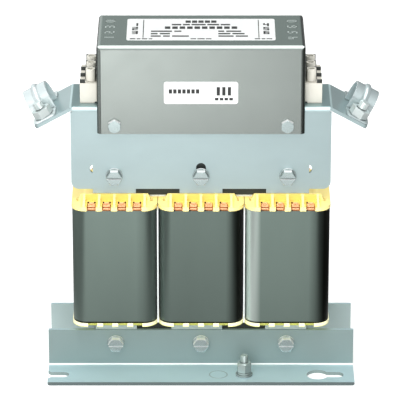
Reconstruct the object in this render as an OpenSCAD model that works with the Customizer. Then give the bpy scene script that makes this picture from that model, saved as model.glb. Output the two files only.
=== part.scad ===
// Three-phase output filter. A three-leg reactor stands on two angle feet, and a
// folded bracket over its upper yoke carries the filter housing and two shield clamps.
// Front is -Y, up is +Z, and the origin is the middle of the footprint, on the ground.

/* [Core] */
// Width of each leg and height of each yoke
leg_w = 25; // [23:0.5:25]
// Depth of the lamination stack
stack_d = 36; // [34:0.5:38]
// Distance between leg centres
leg_pitch = 50.5; // [50:0.5:52]
// Clear height of the two windows
window_h = 81.5; // [75:0.5:90]
// Height of the core's underside above the ground
core_z = 3.5; // [3:0.1:4]
// Thickness of the gap pad on each leg
gap_pad_t = 1.5; // [1:0.1:2]

/* [Coils] */
// Gap between the flanges of neighbouring bobbins
flange_gap = 0.4; // [0.3:0.1:0.8]
// Depth of each bobbin flange
flange_d = 62.4; // [61:0.2:64]
// Corner radius of each bobbin flange
flange_r = 8.5; // [7:0.5:10]
// Thickness of each bobbin flange
flange_t = 2.2; // [1.8:0.1:2.4]
// Wall thickness of the bobbin tube
tube_t = 1.6; // [1.2:0.1:1.8]
// How far the outer wrap stays inside the flange edge
wrap_inset = 0.4; // [0.3:0.1:0.8]
// Thickness of the outer wrap
wrap_t = 0.8; // [0.5:0.1:1]
// Number of wire layers on each coil
wire_layers = 4; // [3:1:5]

/* [Folded sheet] */
// Thickness of all folded steel
sheet_t = 2; // [1.5:0.1:2]
// Inner radius of the folds
fold_r = 1.1; // [0.8:0.1:1.5]
// Width of the base angles
foot_w = 180.8; // [176:0.4:190]
// Reach of each foot in front of its upright flange
foot_d = 25.4; // [24:0.2:28]
// Height of each upright flange
foot_h = 24.6; // [22:0.2:25]
// Distance from the upright flange to the row of mounting slots
slot_row = 14.4; // [13:0.2:15]
// Width of the mounting slots
slot_w = 7; // [6:0.5:7.5]
// Diameter of the keyhole's wide end
keyhole_d = 13; // [12:0.5:14]
// Width of the upper bracket's front plate
plate_w = 151; // [148:1:154]
// Height of the shelf's upper face above the ground
shelf_z = 165; // [163:0.5:168]
// Length of each wing, measured along its slope
wing_l = 24; // [22:0.5:26]
// Slope of the wings
wing_angle = 29; // [20:1:35]

/* [Housing] */
// Width of the hood
hood_w = 120.2; // [118:0.1:121]
// Height of the hood's top above the ground
hood_z = 203.2; // [200:0.2:208]
// Depth of the hood
hood_d = 57; // [53:0.2:57]
// Height of the hood's lower edge at the front
hood_skirt_z = 149.4; // [148:0.2:150]
// Outer radius of the hood's edges
hood_r = 2.5; // [2.2:0.1:3]

/* [Terminals] */
// Distance between neighbouring poles
pole_pitch = 10.9; // [10.5:0.1:11]
// Height of each terminal block
block_h = 12.2; // [11:0.2:13]
// How far each terminal block stands out of the hood
block_reach = 10; // [9.5:0.5:11]
// Diameter of the screw towers
tower_d = 5.6; // [4.8:0.1:5.6]
// Height of the screw towers above the block
tower_h = 7.7; // [6.1:0.2:8.9]

/* [Shield clamps] */
// Width of the clamp strap
strap_w = 14; // [12:0.5:14]
// Outer radius of the strap's arch
strap_r = 8.3; // [7.5:0.1:8.3]
// Height of the strap's crown above the wing
strap_h = 15.4; // [15.4:0.1:16.4]
// Thickness of the strap
strap_t = 1.2; // [1:0.1:1.5]
// Distance of each clamp stud from the middle of the strap
stud_y = 14; // [13.9:0.1:14.1]

/* [Hidden] */
$fn = 48;
// Overlap that keeps cuts from ending on a face
eps = 0.01;
cut = 1;

// Core
legs = [-leg_pitch, 0, leg_pitch];
core_w = 2 * leg_pitch + leg_w;
window_z0 = core_z + leg_w;
window_z1 = window_z0 + window_h;
lower_bolt_z = core_z + leg_w / 2;
upper_bolt_z = window_z1 + leg_w / 2;
stack_y = stack_d / 2;
plate_y = stack_y + sheet_t;
core_hole_d = 5.5;

// Openings and corners of the feet
slot_end_x = 81.5;
slot_lead_in = 2.4;
keyhole_x = 68.9;
keyhole_run = 11.9;
foot_corner_r = 1.5;

// Bobbins
leg_clearance = 0.3;
tube_in_w = leg_w + 2 * leg_clearance;
tube_in_d = stack_d + 2 * leg_clearance;
tube_w = tube_in_w + 2 * tube_t;
tube_d = tube_in_d + 2 * tube_t;
flange_w = leg_pitch - flange_gap;
bobbin_end_gap = 0.25;
bobbin_z0 = window_z0 + bobbin_end_gap;
bobbin_z1 = window_z1 - bobbin_end_gap;
bobbin_mid = (bobbin_z0 + bobbin_z1) / 2;
collar_h = 2.7;
flange_z = (bobbin_z1 - bobbin_z0) / 2 - collar_h;
comb_w = 39.2;
comb_h = 4;
comb_ramp = 1.6;
rib_n = 5;
rib_pitch = 8.85;
rib_t = 1.3;
rib_inset = 1.2;
rib_tip_h = 0.5;
rib_drop = 0.6;
notch_w = 4.7;
notch_taper = 0.4;
notch_d = 8.4;
lead_slot = [1.6, 5];
lead_slot_x = 21.5;

// Windings
coil_z = flange_z - flange_t;
wrap_w = flange_w - 2 * wrap_inset;
wrap_d = flange_d - 2 * wrap_inset;
wrap_r = flange_r - wrap_inset;
coil_w = wrap_w - 2 * wrap_t;
coil_d = wrap_d - 2 * wrap_t;
coil_r = wrap_r - wrap_t;
wire_d = (coil_w - tube_w) / 2 / wire_layers;
sheet_edge = 0.8;
strip_w = 9.2;
strip_t = 1.4;
notch_turns = 3;

// Fasteners, as across flats, head height and diameter
m5_flats = 8;
m5_head_h = 3.5;
m5_nut_h = 4;
m5_d = 5;
m6_flats = 10;
m6_nut_h = 5;
m6_d = 6;
m4_flats = 7;
m4_head_h = 2.8;
m4_nut_h = 3.2;
m4_d = 4;
washer_d = 10;
washer_t = 1;
bolt_tail = 2;
stud_tail = 4.4;
stud_chamfer = 0.5;
clamp_nut_turn = 16;

// Upper bracket
tab_z = 111.8;
tab_w = 25;
plate_corner_z = tab_z + 2.7;
plate_corner_r = 4.5;
plate_hole_x = 61.8;
plate_hole_z = upper_bolt_z + 4.5;
plate_hole_d = 5.7;
slot_top_z = upper_bolt_z + 5.3;
fold_out = fold_r + sheet_t;
wing_corner_r = 2;

// Hood and what it covers
hood_y0 = -plate_y - sheet_t;
hood_y1 = hood_y0 + hood_d;
hood_mid_y = (hood_y0 + hood_y1) / 2;
hood_screw_x = 50;
hood_screw_z = hood_skirt_z + 5.2;
hood_hole_d = m4_d + 0.5;
shelf_lip_y = hood_y1 - sheet_t;
shelf_lip_w = hood_w - 2 * sheet_t - 1;
rear_flange_d = 7;
rivet_x = 28;
rivet_y = plate_y + rear_flange_d - 3.2;
rivet_d = 3;

// Terminals
block_w = 3 * pole_pitch;
block_x0 = hood_w / 2 - 7;
block_x1 = hood_w / 2 + block_reach;
block_y0 = -12.8;
block_step = [1.4, 0.9];
first_pole = 4.9;
tower_x = hood_w / 2 + 3.8;
screw_hole_d = 3.4;
entry_w = 4.6;
entry_h = 6.2;
entry_z = 5.6;
cage_x0 = block_x0 + 2;
cage_l = tower_x + 3 - cage_x0;
cage_w = entry_w + 1.2;
cage_h = entry_h + 1.2;
cage_t = 0.6;
cage_screw_d = 2.5;
barrier_t = 1;
barrier_step_x = hood_w / 2 + 7;
barrier_inset = 0.9;
barrier_let_in = 0.4;
barrier_high = tower_h - 0.3;
barrier_low = 1.9;
barrier_deep = 2;

// Clamp straps, with the arch's centre above the wing
arch_r = strap_r - strap_t;
arch_z = strap_h - strap_r;
strap_foot_y = plate_y - 0.4;

// Circuit board
board_z = shelf_z + 4;
board_t = 1.6;
board_w = 98;
board_d = 46;
board_hole_x = board_w / 2 - 4;
board_hole_y = board_d / 2 - 4;
board_hole_d = 3;
cap_w = 26;
cap_d = 38;
cap_h = 25;
cap_pitch = 29;

// Earth stud on the front foot
earth_x = 25.5;
earth_y = -plate_y - slot_row;
earth_top = 14.7;
earth_end_d = 4.5;
spring_washer_t = 1.3;

// Labels
label_t = 0.2;
label_r = 1.5;
top_label = [86, 37.8];
top_label_y = 7.2;
front_label = [42.7, 13.5];
front_label_z = 174.8;

// A rectangle with round corners, centred on the origin
module round_rect(w, d, r) {
    square([w - 2 * r, d], center = true);
    square([w, d - 2 * r], center = true);
    for (x = [-1, 1], y = [-1, 1])
        translate([x * (w / 2 - r), y * (d / 2 - r)]) circle(r);
}

// What is left of a square corner outside its rounding, with the corner at the origin
module corner_waste(r) {
    difference() {
        translate([-cut, -cut]) square(r + cut);
        translate([r, r]) circle(r);
    }
}

// A slot with round ends between two points on one line along X
module slot_2d(x0, x1, w) {
    translate([x0, -w / 2]) square([x1 - x0, w]);
    translate([x0, 0]) circle(d = w);
    translate([x1, 0]) circle(d = w);
}

// Extrudes a section drawn as (Y, Z) along X, centred
module along_x(w) {
    translate([-w / 2, 0, 0]) rotate([90, 0, 90]) linear_extrude(w) children();
}

// Extrudes a shape drawn as (X, Z) from y0 back to y1
module along_y(y0, y1) {
    translate([0, y1, 0]) rotate([90, 0, 0]) linear_extrude(y1 - y0) children();
}

// A bore along Y
module bore_y(d, y0, y1) {
    translate([0, y1, 0]) rotate([90, 0, 0]) cylinder(d = d, h = y1 - y0);
}

// A quarter of a folded sheet's bend, round the origin in the first quadrant
module fold_quarter() {
    difference() {
        circle(fold_out);
        circle(fold_r);
        translate([-2 * fold_out, -fold_out]) square([2 * fold_out, 2 * fold_out]);
        translate([-eps, -2 * fold_out]) square([2 * fold_out, 2 * fold_out]);
    }
}

// A hex prism whose outer end is chamfered as on a bolt head or nut
module hex_prism(flats, h) {
    corner = flats / cos(30);
    chamfer = 0.5;
    intersection() {
        cylinder(d = corner, h = h, $fn = 6);
        union() {
            cylinder(d = corner + 2 * chamfer, h = h - chamfer);
            translate([0, 0, h - chamfer])
                cylinder(d1 = corner + 2 * chamfer, d2 = corner - 2 * chamfer, h = chamfer);
        }
    }
}

module washer(d, hole, t) {
    difference() {
        cylinder(d = d, h = t);
        translate([0, 0, -cut]) cylinder(d = hole, h = t + 2 * cut);
    }
}

module nut(flats, hole, h) {
    difference() {
        hex_prism(flats, h);
        translate([0, 0, -cut]) cylinder(d = hole, h = h + 2 * cut);
    }
}

// Base angle of the front. Its foot points forward, and its flange bears on the core
module base_bracket(stud_hole) {
    upright_y = -plate_y;
    difference() {
        along_x(foot_w) {
            translate([upright_y - foot_d, 0]) square([foot_d - fold_r, sheet_t]);
            translate([upright_y, fold_out]) square([sheet_t, foot_h - fold_out]);
            translate([upright_y - fold_r, fold_out]) mirror([0, 1]) fold_quarter();
        }
        for (x = legs)
            translate([x, 0, lower_bolt_z]) bore_y(core_hole_d, upright_y - cut, cut - stack_y);
        translate([0, earth_y, -cut]) linear_extrude(sheet_t + 2 * cut) foot_openings();
        if (stud_hole)
            translate([earth_x, earth_y, -cut]) cylinder(d = m5_d, h = sheet_t + 2 * cut);
        foot_corners(upright_y - foot_d);
    }
}

// Open slot at the left and keyhole at the right, drawn on the slot row
module foot_openings() {
    slot_2d(-foot_w / 2 - 2 * slot_w, -slot_end_x, slot_w);
    for (s = [-1, 1])
        translate([-foot_w / 2, s * slot_w / 2]) rotate(45) square(slot_lead_in, center = true);
    slot_2d(keyhole_x, keyhole_x + keyhole_run, slot_w);
    translate([keyhole_x, 0]) circle(d = keyhole_d);
}

module foot_corners(y) {
    for (s = [0, 1])
        mirror([s, 0, 0]) translate([-foot_w / 2, y, -cut])
            linear_extrude(sheet_t + 2 * cut) corner_waste(foot_corner_r);
}

module front_base_bracket() {
    color("lightsteelblue") base_bracket(true);
}

// The rear angle mirrors the front one, so the keyholes are on one side
module rear_base_bracket() {
    color("lightsteelblue") mirror([0, 1, 0]) base_bracket(false);
}

// Lower yoke and the three legs
module core_stack() {
    color("dimgray") difference() {
        union() {
            translate([-core_w / 2, -stack_y, core_z]) cube([core_w, stack_d, leg_w]);
            for (x = legs)
                translate([x - leg_w / 2, -stack_y, core_z + leg_w - cut])
                    cube([leg_w, stack_d, window_h - gap_pad_t + cut]);
        }
        for (x = legs)
            translate([x, 0, lower_bolt_z]) bore_y(core_hole_d, -stack_y - cut, stack_y + cut);
    }
}

module core_yoke() {
    color("dimgray") difference() {
        translate([-core_w / 2, -stack_y, window_z1]) cube([core_w, stack_d, leg_w]);
        for (x = legs)
            translate([x, 0, upper_bolt_z]) bore_y(core_hole_d, -stack_y - cut, stack_y + cut);
    }
}

module leg_gap_pads() {
    color("ivory") for (x = legs)
        translate([x - leg_w / 2, -stack_y, window_z1 - gap_pad_t])
            cube([leg_w, stack_d, gap_pad_t]);
}

// Moulded coil former for one leg, centred on the middle of its height
module bobbin() {
    difference() {
        union() {
            for (s = [0, 1])
                mirror([0, 0, s]) bobbin_end();
            translate([0, 0, -flange_z]) linear_extrude(2 * flange_z)
                round_rect(tube_w, tube_d, tube_t);
        }
        cube([tube_in_w, tube_in_d, 4 * flange_z], center = true);
    }
}

// Upper flange, its collar round the leg, and a comb wall with ribs at front and rear
module bobbin_end() {
    difference() {
        translate([0, 0, coil_z]) linear_extrude(flange_t) round_rect(flange_w, flange_d, flange_r);
        translate([0, 0, coil_z - cut]) linear_extrude(flange_t + 2 * cut) flange_cuts();
    }
    translate([0, 0, flange_z - eps]) linear_extrude(collar_h + eps)
        round_rect(tube_w, tube_d, tube_t);
    for (s = [0, 1])
        mirror([0, s, 0]) comb();
}

// Notches for the leads between the ribs, and a narrow lead slot at each side
module flange_cuts() {
    for (s = [0, 1], i = [0 : rib_n - 2])
        mirror([0, s]) translate([(i - (rib_n - 2) / 2) * rib_pitch, -flange_d / 2])
            polygon([
                [-notch_w / 2 - notch_taper, -cut], [notch_w / 2 + notch_taper, -cut],
                [notch_w / 2, notch_d], [-notch_w / 2, notch_d]
            ]);
    for (sx = [-1, 1], sy = [-1, 1])
        translate([sx * lead_slot_x, sy * stack_y]) square(lead_slot, center = true);
}

module comb() {
    wall_y = -tube_d / 2;
    along_y(wall_y, wall_y + tube_t) polygon([
        [-comb_w / 2 - comb_ramp, flange_z - eps], [comb_w / 2 + comb_ramp, flange_z - eps],
        [comb_w / 2, flange_z + comb_h], [-comb_w / 2, flange_z + comb_h]
    ]);
    rib_y = rib_inset - flange_d / 2;
    for (i = [0 : rib_n - 1])
        translate([(i - (rib_n - 1) / 2) * rib_pitch, 0, 0]) along_x(rib_t) polygon([
            [wall_y + eps, flange_z - eps], [rib_y, flange_z - eps],
            [rib_y, flange_z + rib_tip_h], [wall_y + eps, flange_z + comb_h - rib_drop]
        ]);
}

module bobbin_on(leg) {
    color("khaki") translate([legs[leg], 0, bobbin_mid]) bobbin();
}

module bobbin_1() { bobbin_on(0); }
module bobbin_2() { bobbin_on(1); }
module bobbin_3() { bobbin_on(2); }

// All turns of one coil, with a step between the wire layers at both ends, and the
// turns that rise into the notches of the flanges
module winding() {
    groove_d = 0.9;
    groove_w = 0.7;
    for (sz = [0, 1], sy = [0, 1], i = [0 : rib_n - 2])
        mirror([0, 0, sz]) mirror([0, sy, 0])
            translate([(i - (rib_n - 2) / 2) * rib_pitch, -coil_d / 2, coil_z]) turns_in_notch();
    difference() {
        translate([0, 0, -coil_z]) linear_extrude(2 * coil_z) difference() {
            round_rect(coil_w, coil_d, coil_r);
            round_rect(tube_w, tube_d, tube_t);
        }
        for (s = [0, 1], i = [1 : wire_layers - 1])
            mirror([0, 0, s]) translate([0, 0, coil_z - groove_d])
                linear_extrude(groove_d + cut) layer_ring(i * wire_d, groove_w);
    }
}

// The outer turns in one notch, sunk a little into the coil below them
module turns_in_notch() {
    play = 0.1;
    sink = 0.15;
    for (layer = [0 : notch_turns - 1])
        translate([0, (layer + 0.5) * wire_d, wire_d / 2 - play / 2 - sink])
            rotate([0, 90, 0])
                cylinder(d = wire_d - play, h = notch_w - 2 * play, center = true);
}

// A ring that follows the coil's outline at a given depth below its outer face
module layer_ring(depth, w) {
    r = max(coil_r - depth, 1);
    difference() {
        round_rect(coil_w - 2 * depth + w, coil_d - 2 * depth + w, r + w / 2);
        round_rect(coil_w - 2 * depth - w, coil_d - 2 * depth - w, r - w / 2);
    }
}

module winding_on(leg) {
    color("chocolate") translate([legs[leg], 0, bobbin_mid]) winding();
}

module winding_1() { winding_on(0); }
module winding_2() { winding_on(1); }
module winding_3() { winding_on(2); }

module coil_wrap_on(leg) {
    color("darkslategray") translate([legs[leg], 0, bobbin_mid - coil_z])
        linear_extrude(2 * coil_z) difference() {
            round_rect(wrap_w, wrap_d, wrap_r);
            round_rect(coil_w, coil_d, coil_r);
        }
}

module coil_wrap_1() { coil_wrap_on(0); }
module coil_wrap_2() { coil_wrap_on(1); }
module coil_wrap_3() { coil_wrap_on(2); }

// Insulating sheets that stand on the lower flanges between neighbouring coils
module phase_sheets() {
    color("white") for (x = [-leg_pitch / 2, leg_pitch / 2])
        translate([x - sheet_edge / 2, -coil_d / 2, bobbin_mid - coil_z])
            cube([sheet_edge, coil_d, 2 * coil_z]);
}

// Insulating strips glued to both yokes, in the middle of each window
module window_strips() {
    strip_d = stack_d - 2;
    color("gainsboro")
        for (x = [-leg_pitch / 2, leg_pitch / 2], z = [window_z0, window_z1 - strip_t])
            translate([x - strip_w / 2, -strip_d / 2, z]) cube([strip_w, strip_d, strip_t]);
}

// Front plate, shelf, rear lip and the two sloping wings, folded from one sheet
module upper_bracket() {
    color("lightsteelblue") {
        front_plate();
        shelf();
        for (s = [0, 1])
            mirror([s, 0, 0]) wing();
    }
}

module front_plate() {
    difference() {
        along_y(-plate_y, -stack_y) front_plate_2d();
        for (s = [-1, 1])
            translate([s * hood_screw_x, 0, hood_screw_z])
                bore_y(hood_hole_d, -plate_y - cut, cut - stack_y);
    }
}

module front_plate_2d() {
    top = shelf_z - fold_out;
    half = plate_w / 2;
    difference() {
        union() {
            translate([-half, plate_corner_z]) square([plate_w, top - plate_corner_z]);
            for (x = legs)
                translate([x - tab_w / 2, tab_z]) square([tab_w, 4 * cut]);
        }
        for (s = [0, 1])
            mirror([s, 0]) translate([-half, plate_corner_z]) corner_waste(plate_corner_r);
        for (x = [-leg_pitch, leg_pitch])
            translate([x, upper_bolt_z]) circle(d = core_hole_d);
        for (s = [0, 1])
            mirror([s, 0]) plate_opening();
        translate([0, upper_bolt_z]) rotate(90) slot_2d(0, slot_top_z - upper_bolt_z, plate_hole_d);
    }
}

// A round opening, kept to the part of its circle that lies beside the yoke's end
module plate_opening() {
    intersection() {
        translate([plate_hole_x, plate_hole_z]) circle(d = plate_hole_d);
        translate([core_w / 2, plate_hole_z - plate_hole_d]) square(2 * plate_hole_d);
    }
}

module shelf() {
    flat_y0 = -plate_y + fold_out;
    lip_top = shelf_z - fold_out;
    along_x(plate_w - 2 * wing_bend_run()) {
        translate([flat_y0 - eps, shelf_z - sheet_t])
            square([plate_y - flat_y0 + eps, sheet_t]);
        translate([flat_y0, lip_top]) mirror([1, 0]) fold_quarter();
    }
    difference() {
        along_x(shelf_lip_w) {
            translate([plate_y - cut, shelf_z - sheet_t])
                square([shelf_lip_y - fold_out - plate_y + cut, sheet_t]);
            translate([shelf_lip_y - fold_out, lip_top]) fold_quarter();
            translate([shelf_lip_y - sheet_t, hood_skirt_z]) square([sheet_t, lip_top - hood_skirt_z]);
        }
        for (s = [-1, 1])
            translate([s * hood_screw_x, 0, hood_screw_z])
                bore_y(hood_hole_d, shelf_lip_y - sheet_t - cut, shelf_lip_y + cut);
        for (s = [-1, 1])
            translate([s * rivet_x, rivet_y, shelf_z - sheet_t - cut])
                cylinder(d = rivet_d, h = sheet_t + 2 * cut);
    }
}

// Places a piece on the right wing: X runs down its slope, Z is square to it
module on_wing() {
    translate([plate_w / 2, 0, shelf_z]) rotate([0, wing_angle, 0]) children();
}

// Length of the bend's outer arc, projected on the shelf
function wing_bend_run() = fold_out * tan(wing_angle / 2);

module wing() {
    bend_run = wing_bend_run();
    difference() {
        union() {
            translate([plate_w / 2 - bend_run, plate_y, shelf_z - fold_out])
                rotate([90, 0, 0]) wing_bend();
            on_wing() translate([bend_run, -plate_y, -sheet_t])
                cube([wing_l - bend_run, 2 * plate_y, sheet_t]);
        }
        for (s = [0, 1])
            mirror([0, s, 0]) on_wing() translate([wing_l, -plate_y, -sheet_t - cut])
                mirror([1, 0, 0]) linear_extrude(sheet_t + 2 * cut) corner_waste(wing_corner_r);
        for (s = [-1, 1])
            on_wing() translate([stud_x(), s * stud_y, -sheet_t - cut])
                cylinder(d = m6_d, h = sheet_t + 2 * cut);
    }
}

// The bend between shelf and wing, as a sector of a ring
module wing_bend() {
    linear_extrude(2 * plate_y) difference() {
        circle(fold_out);
        circle(fold_r);
        translate([-2 * fold_out, -2 * fold_out]) square([2 * fold_out, 4 * fold_out]);
        rotate(90 - wing_angle) translate([-2 * fold_out, -4 * fold_out])
            square([4 * fold_out, 4 * fold_out]);
    }
}

function strap_x0() = wing_l - strap_w - 0.3;
function stud_x() = strap_x0() + strap_w / 2;

// Angle behind the upper yoke. Its top flange is riveted under the shelf
module rear_yoke_plate() {
    flange_z0 = shelf_z - 2 * sheet_t;
    color("lightsteelblue") difference() {
        along_x(core_w) {
            translate([stack_y, tab_z]) square([sheet_t, flange_z0 + sheet_t - fold_out - tab_z]);
            translate([stack_y + fold_out, flange_z0 + sheet_t - fold_out])
                mirror([1, 0]) fold_quarter();
            translate([stack_y + fold_out - eps, flange_z0])
                square([rear_flange_d + sheet_t - fold_out + eps, sheet_t]);
        }
        for (x = legs)
            translate([x, 0, upper_bolt_z]) bore_y(core_hole_d, stack_y - cut, plate_y + cut);
        for (s = [-1, 1])
            translate([s * rivet_x, rivet_y, flange_z0 - cut])
                cylinder(d = rivet_d, h = sheet_t + 2 * cut);
    }
}

module shelf_rivets() {
    head_t = 1;
    color("silver") for (s = [-1, 1])
        translate([s * rivet_x, rivet_y, 0]) {
            translate([0, 0, shelf_z - 2 * sheet_t]) cylinder(d = rivet_d, h = 2 * sheet_t);
            translate([0, 0, shelf_z]) cylinder(d1 = 2 * rivet_d, d2 = 1.4 * rivet_d, h = head_t);
            translate([0, 0, shelf_z - 2 * sheet_t - head_t])
                cylinder(d = 1.6 * rivet_d, h = head_t);
        }
}

// A bolt through the core from the front, with its shank ending behind the nut
module core_bolt() {
    head_y = -plate_y - washer_t;
    end_y = plate_y + washer_t + m5_nut_h + bolt_tail;
    groove_w = 1.2;
    groove_d = 1;
    translate([0, head_y, 0]) rotate([90, 0, 0]) difference() {
        hex_prism(m5_flats, m5_head_h);
        translate([-m5_flats, -groove_w / 2, m5_head_h - groove_d])
            cube([2 * m5_flats, groove_w, groove_d + cut]);
    }
    bore_y(m5_d, head_y - eps, end_y);
}

module core_bolts_lower() {
    color("silver") for (x = legs)
        translate([x, 0, lower_bolt_z]) core_bolt();
}

module core_bolts_upper() {
    color("silver") for (x = legs)
        translate([x, 0, upper_bolt_z]) core_bolt();
}

module core_bolt_washers() {
    color("silver") for (x = legs, z = [lower_bolt_z, upper_bolt_z], s = [0, 1])
        translate([x, 0, z]) mirror([0, s, 0]) translate([0, -plate_y, 0])
            rotate([90, 0, 0]) washer(washer_d, m5_d, washer_t);
}

module core_bolt_nuts() {
    color("silver") for (x = legs, z = [lower_bolt_z, upper_bolt_z])
        translate([x, plate_y + washer_t, z]) rotate([-90, 0, 0]) nut(m5_flats, m5_d, m5_nut_h);
}

// Five-sided hood with a skirt over the front plate and one over the rear lip
module hood() {
    color("lightgray") difference() {
        hood_solid();
        hood_cavity();
        for (s = [-1, 1])
            translate([s * hood_screw_x, 0, hood_screw_z])
                bore_y(hood_hole_d, hood_y0 - cut, hood_y1 + cut);
        translate([-hood_w, block_y0, shelf_z - cut]) cube([2 * hood_w, block_w, block_h + cut]);
    }
}

module hood_solid() {
    h = hood_z - hood_skirt_z;
    intersection() {
        translate([0, hood_mid_y, hood_skirt_z]) linear_extrude(h) round_rect(hood_w, hood_d, hood_r);
        along_x(hood_w + 2) translate([hood_mid_y, hood_z - h]) round_rect(hood_d, 2 * h, hood_r);
        along_y(hood_y0 - cut, hood_y1 + cut)
            translate([0, hood_z - h]) round_rect(hood_w, 2 * h, hood_r);
    }
}

module hood_cavity() {
    inner_w = hood_w - 2 * sheet_t;
    inner_d = hood_d - 2 * sheet_t;
    translate([-inner_w / 2, hood_y0 + sheet_t, shelf_z - cut])
        cube([inner_w, inner_d, hood_z - sheet_t - shelf_z + cut]);
    translate([-hood_w, hood_y0 + sheet_t, hood_skirt_z - cut])
        cube([2 * hood_w, inner_d, shelf_z - hood_skirt_z + cut]);
}

module hood_screw() {
    shank = 2 * sheet_t + m4_nut_h + bolt_tail;
    rotate([90, 0, 0]) rotate(30) hex_prism(m4_flats, m4_head_h);
    bore_y(m4_d, -eps, shank);
}

// Two screws at the front of the hood and two at its rear
module hood_screws() {
    color("silver") for (s = [-1, 1]) {
        translate([s * hood_screw_x, hood_y0, hood_screw_z]) hood_screw();
        translate([s * hood_screw_x, hood_y1, hood_screw_z]) mirror([0, 1, 0]) hood_screw();
    }
}

module hood_nuts() {
    inset = 2 * sheet_t;
    color("silver") for (s = [-1, 1]) {
        translate([s * hood_screw_x, hood_y0 + inset, hood_screw_z])
            rotate([-90, 0, 0]) nut(m4_flats, m4_d, m4_nut_h);
        translate([s * hood_screw_x, hood_y1 - inset, hood_screw_z])
            rotate([90, 0, 0]) nut(m4_flats, m4_d, m4_nut_h);
    }
}

module circuit_board() {
    color("seagreen") difference() {
        translate([-board_w / 2, hood_mid_y - board_d / 2, board_z]) cube([board_w, board_d, board_t]);
        for (x = [-1, 1], y = [-1, 1])
            translate([x * board_hole_x, hood_mid_y + y * board_hole_y, board_z - cut])
                cylinder(d = board_hole_d, h = board_t + 2 * cut);
    }
}

module board_spacers() {
    head_h = 2;
    color("silver") for (x = [-1, 1], y = [-1, 1])
        translate([x * board_hole_x, hood_mid_y + y * board_hole_y, shelf_z]) {
            cylinder(d = 2 * board_hole_d, h = board_z - shelf_z);
            cylinder(d = board_hole_d, h = board_z - shelf_z + board_t);
            translate([0, 0, board_z - shelf_z + board_t]) cylinder(d = 5.5, h = head_h);
        }
}

// Three film capacitors side by side, one for each pair of phases
module film_capacitors() {
    color("steelblue") for (i = [-1, 0, 1])
        translate([i * cap_pitch, hood_mid_y, board_z + board_t])
            linear_extrude(cap_h) round_rect(cap_w, cap_d, 2);
}

module damping_resistors() {
    body_d = 3.6;
    body_l = 14;
    body_y = hood_mid_y - (cap_d + body_d + 0.2) / 2;
    color("tan") for (i = [-1, 0, 1])
        translate([i * cap_pitch, body_y, board_z + board_t + body_d / 2])
            rotate([0, 90, 0]) cylinder(d = body_d, h = body_l, center = true);
}

// Moulded three-pole block of the right side, which passes through the hood's wall. Its
// underside has a shallow step along the wall
module terminal_block() {
    difference() {
        union() {
            translate([block_x0, block_y0, shelf_z])
                cube([block_x1 - block_x0, block_w, block_h]);
            for (i = [0 : 2])
                translate([tower_x, pole_y(i), shelf_z + block_h - eps])
                    cylinder(d = tower_d, h = tower_h + eps);
        }
        for (i = [0 : 2])
            translate([0, pole_y(i), 0]) pole_cuts();
        translate([0, 0, shelf_z + block_h]) barrier_set(cut);
        translate([hood_w / 2 - cut, block_y0 - cut, shelf_z - cut])
            cube([cut + block_step.x, block_w + 2 * cut, cut + block_step.y]);
    }
}

function pole_y(i) = block_y0 + first_pole + i * pole_pitch;

// Screw bore down the tower, wire entry from the outer face, and the cage's pocket
module pole_cuts() {
    translate([tower_x, 0, shelf_z + entry_z]) cylinder(d = screw_hole_d, h = block_h + tower_h);
    translate([tower_x, -entry_w / 2, shelf_z + entry_z - entry_h / 2])
        cube([block_x1 - tower_x + cut, entry_w, entry_h]);
    translate([cage_x0, -cage_w / 2, shelf_z + entry_z - cage_h / 2])
        cube([cage_l, cage_w, cage_h]);
}

// Barrier plates of each pole: a low one at the outer edge, and a tall one let into the
// tower's back
module barrier_set(extra) {
    for (i = [0 : 2]) {
        translate([0, block_y0 + barrier_inset + i * pole_pitch, 0])
            barrier_plate(barrier_step_x, block_x1, barrier_low + extra);
        translate([0, pole_y(i) + tower_d / 2 - barrier_let_in, 0])
            barrier_plate(hood_w / 2, barrier_step_x, barrier_high + extra);
    }
}

module barrier_plate(x0, x1, h) {
    translate([x0, 0, -barrier_deep]) cube([x1 - x0, barrier_t, barrier_deep + h]);
}

module terminal_block_right() {
    color("cornsilk") terminal_block();
}

module terminal_block_left() {
    color("cornsilk") mirror([1, 0, 0]) terminal_block();
}

module terminal_barriers_right() {
    color("dimgray") translate([0, 0, shelf_z + block_h]) barrier_set(0);
}

module terminal_barriers_left() {
    color("dimgray") mirror([1, 0, 0]) translate([0, 0, shelf_z + block_h]) barrier_set(0);
}

// Slotted screws standing in the towers, with their tips in the cages
module terminal_screws() {
    tip_z = shelf_z + entry_z + entry_h / 2 - 0.7;
    head_z = shelf_z + block_h + tower_h - 3.2;
    head_h = 1.8;
    groove_w = 0.6;
    groove_d = 0.8;
    color("silver") for (s = [0, 1], i = [0 : 2])
        mirror([s, 0, 0]) translate([tower_x, pole_y(i), 0]) difference() {
            union() {
                translate([0, 0, tip_z]) cylinder(d = cage_screw_d, h = head_z - tip_z);
                translate([0, 0, head_z - head_h]) cylinder(d = screw_hole_d, h = head_h);
            }
            translate([-screw_hole_d, -groove_w / 2, head_z - groove_d])
                cube([2 * screw_hole_d, groove_w, groove_d + cut]);
        }
}

// Rising cages that clamp the wires
module terminal_cages() {
    color("goldenrod") for (s = [0, 1], i = [0 : 2])
        mirror([s, 0, 0]) translate([cage_x0, pole_y(i), shelf_z + entry_z]) difference() {
            translate([0, -cage_w / 2, -cage_h / 2]) cube([cage_l, cage_w, cage_h]);
            translate([-cut, cage_t - cage_w / 2, cage_t - cage_h / 2])
                cube([cage_l + 2 * cut, cage_w - 2 * cage_t, cage_h - 2 * cage_t]);
            translate([tower_x - cage_x0, 0, 0]) cylinder(d = cage_screw_d, h = cage_h);
        }
}

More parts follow.
